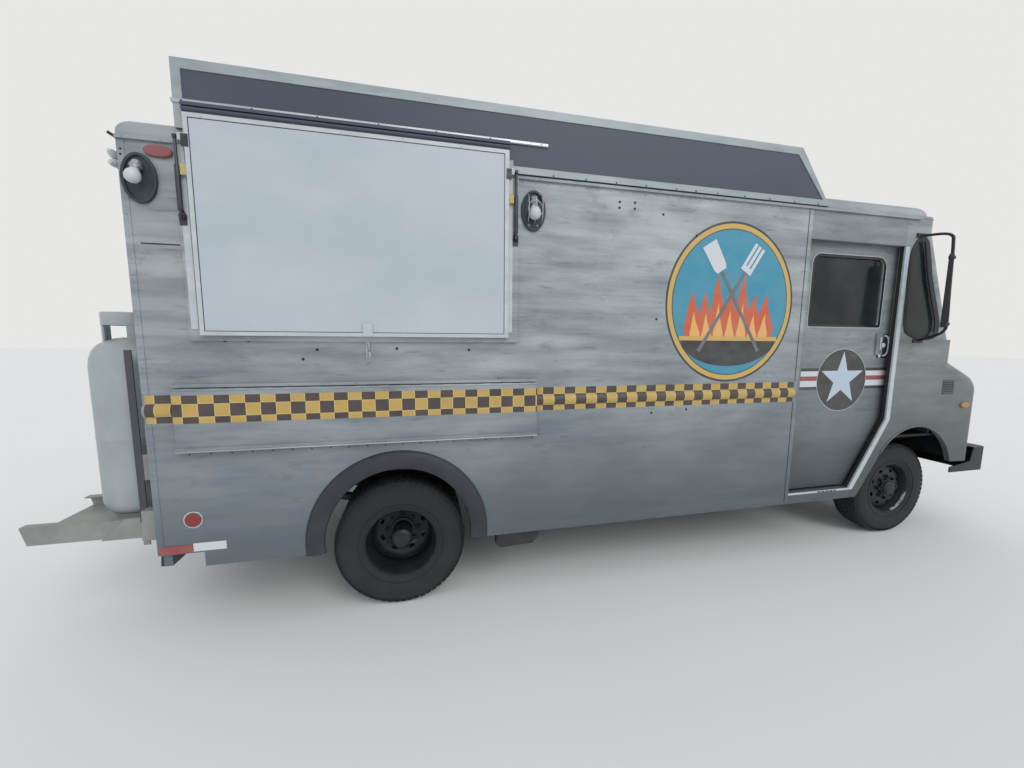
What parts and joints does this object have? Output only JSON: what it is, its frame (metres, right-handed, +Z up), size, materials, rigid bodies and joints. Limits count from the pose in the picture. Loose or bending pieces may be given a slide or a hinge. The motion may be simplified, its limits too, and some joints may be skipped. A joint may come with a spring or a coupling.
{
  "type": "food truck",
  "caption": "Walk-in step van fitted as a food truck, with a lift-up serving hatch, fold-down shelf, sliding cab doors, sign board and rear gas rack",
  "frame": {"origin": "middle of the whole length and width, at ground level under the tyres", "axes": "+X forward, +Y to the driver's left side, +Z up"},
  "size_m": [6.74, 2.7854, 2.896],
  "materials": {
    "body_aluminium": "brushed, blotchy silver paint",
    "white_paint": "satin white",
    "steel": "plain sheet",
    "black_steel": "black chassis paint",
    "cast": "rough cast",
    "glass": "tinted",
    "rubber": "matt black",
    "tyre": "road rubber",
    "lens": "lamp lens",
    "slate": "slate blue board",
    "interior": "dark trim",
    "fabric": "seat cloth",
    "plate": "checker plate"
  },
  "bodies": {
    "truck": {"side_wall_right": "body_aluminium", "side_wall_left": "body_aluminium", "rear_wall": "body_aluminium", "roof": "body_aluminium", "nose": "body_aluminium", "grille": "body_aluminium", "cab_front": "body_aluminium", "cab_glass": "glass", "floor": "plate", "dashboard": "interior", "driver_seat": "fabric", "steering_wheel": "interior", "serving_counter": "steel", "hatch_frame": "steel", "hatch_fittings": "steel", "rub_rails": "body_aluminium", "arch_flares": "rubber", "sign_board": "slate", "lamps": "lens", "mirrors": "black_steel", "front_bumper": "black_steel", "frame_rails": "black_steel", "engine_block": "cast", "drive_shaft": "cast", "fuel_tank": "black_steel", "exhaust": "steel", "rear_axle": "cast", "front_axle": "cast", "leaf_springs": "black_steel", "rear_rack": "white_paint", "rear_step": "black_steel", "gas_cylinder": "white_paint"},
    "hood": {"hood": "body_aluminium"},
    "door_right": {"cab_door_right": "body_aluminium", "cab_door_glass_right": "glass"},
    "door_left": {"cab_door_left": "body_aluminium", "cab_door_glass_left": "glass"},
    "hatch": {"hatch_panel": "white_paint"},
    "strut_tube_rear": {"strut_tube_rear": "black_steel"},
    "strut_rod_rear": {"strut_rod_rear": "steel"},
    "strut_tube_front": {"strut_tube_front": "black_steel"},
    "strut_rod_front": {"strut_rod_front": "steel"},
    "shelf": {"serving_shelf": "body_aluminium"},
    "knuckle_right": {"knuckle_right": "cast"},
    "knuckle_left": {"knuckle_left": "cast"},
    "tie_rod": {"tie_rod": "cast"},
    "wheel_front_left": {"rim_front_left": "black_steel", "tyre_front_left": "tyre"},
    "wheel_front_right": {"rim_front_right": "black_steel", "tyre_front_right": "tyre"},
    "wheel_rear_left": {"rims_rear_left": "black_steel", "tyres_rear_left": "tyre"},
    "wheel_rear_right": {"rims_rear_right": "black_steel", "tyres_rear_right": "tyre"},
    "rear_door_left": {"rear_door_left": "body_aluminium"},
    "rear_door_right": {"rear_door_right": "body_aluminium"}
  },
  "joints": [
    {"name": "wheel_rear_left_spin", "type": "hinge", "parent": "truck", "child": "wheel_rear_left", "pos_m": [-1.518, 0.905, 0.386], "axis": [0, 1, 0], "continuous": true},
    {"name": "wheel_rear_right_spin", "type": "hinge", "parent": "truck", "child": "wheel_rear_right", "pos_m": [-1.518, -0.905, 0.386], "axis": [0, 1, 0], "continuous": true},
    {"name": "steer_right", "type": "hinge", "parent": "truck", "child": "knuckle_right", "pos_m": [2.47, -0.86, 0.386], "axis": [0, 0, 1], "range_deg": [-30, 30]},
    {"name": "steer_left", "type": "hinge", "parent": "truck", "child": "knuckle_left", "pos_m": [2.47, 0.86, 0.386], "axis": [0, 0, 1], "range_deg": [-30, 30]},
    {"name": "tie_rod_slide", "type": "slide", "parent": "truck", "child": "tie_rod", "axis": [0, -1, 0], "range_m": [-0.08, 0.08]},
    {"name": "wheel_front_left_spin", "type": "hinge", "parent": "knuckle_left", "child": "wheel_front_left", "pos_m": [2.47, 0.972, 0.386], "axis": [0, 1, 0], "continuous": true},
    {"name": "wheel_front_right_spin", "type": "hinge", "parent": "knuckle_right", "child": "wheel_front_right", "pos_m": [2.47, -0.972, 0.386], "axis": [0, 1, 0], "continuous": true},
    {"name": "door_right_slide", "type": "slide", "parent": "truck", "child": "door_right", "axis": [-1, 0, 0], "range_m": [0, 0.82]},
    {"name": "door_left_slide", "type": "slide", "parent": "truck", "child": "door_left", "axis": [-1, 0, 0], "range_m": [0, 0.82]},
    {"name": "hatch_hinge", "type": "hinge", "parent": "truck", "child": "hatch", "pos_m": [-1.66, -1.226, 2.668], "axis": [-1, 0, 0], "range_deg": [0, 90]},
    {"name": "strut_tube_rear_hinge", "type": "hinge", "parent": "truck", "child": "strut_tube_rear", "pos_m": [-2.478, -1.216, 2.19], "axis": [1, 0, 0], "range_deg": [0, 16.86]},
    {"name": "strut_tube_front_hinge", "type": "hinge", "parent": "truck", "child": "strut_tube_front", "pos_m": [-0.842, -1.216, 2.19], "axis": [1, 0, 0], "range_deg": [0, 16.86]},
    {"name": "strut_rod_rear_slide", "type": "slide", "parent": "strut_tube_rear", "child": "strut_rod_rear", "axis": [0, 0, 1], "range_m": [0, 0.1365]},
    {"name": "strut_rod_front_slide", "type": "slide", "parent": "strut_tube_front", "child": "strut_rod_front", "axis": [0, 0, 1], "range_m": [0, 0.1365]},
    {"name": "shelf_hinge", "type": "hinge", "parent": "truck", "child": "shelf", "pos_m": [-1.6455, -1.206, 1.354], "axis": [-1, 0, 0], "range_deg": [0, 90]},
    {"name": "rear_door_left_hinge", "type": "hinge", "parent": "truck", "child": "rear_door_left", "pos_m": [-2.74, 0.6, 1.505], "axis": [0, 0, -1], "range_deg": [0, 170]},
    {"name": "rear_door_right_hinge", "type": "hinge", "parent": "truck", "child": "rear_door_right", "pos_m": [-2.74, -0.6, 1.505], "axis": [0, 0, 1], "range_deg": [0, 90]},
    {"name": "hood_hinge", "type": "hinge", "parent": "truck", "child": "hood", "pos_m": [2.794, 0, 1.49635], "axis": [0, -1, 0], "range_deg": [0, 55]}
  ],
  "couplings": [
    {"joint": "steer_left", "follows": "steer_right", "ratio": 1},
    {"joint": "tie_rod_slide", "follows": "steer_right", "m_per_rad": 0.15},
    {"joint": "strut_tube_rear_hinge", "follows": "hatch_hinge", "ratio": 0.1763},
    {"joint": "strut_tube_front_hinge", "follows": "hatch_hinge", "ratio": 0.1763},
    {"joint": "strut_rod_rear_slide", "follows": "hatch_hinge", "m_per_rad": 0.08374},
    {"joint": "strut_rod_front_slide", "follows": "hatch_hinge", "m_per_rad": 0.08374}
  ]
}
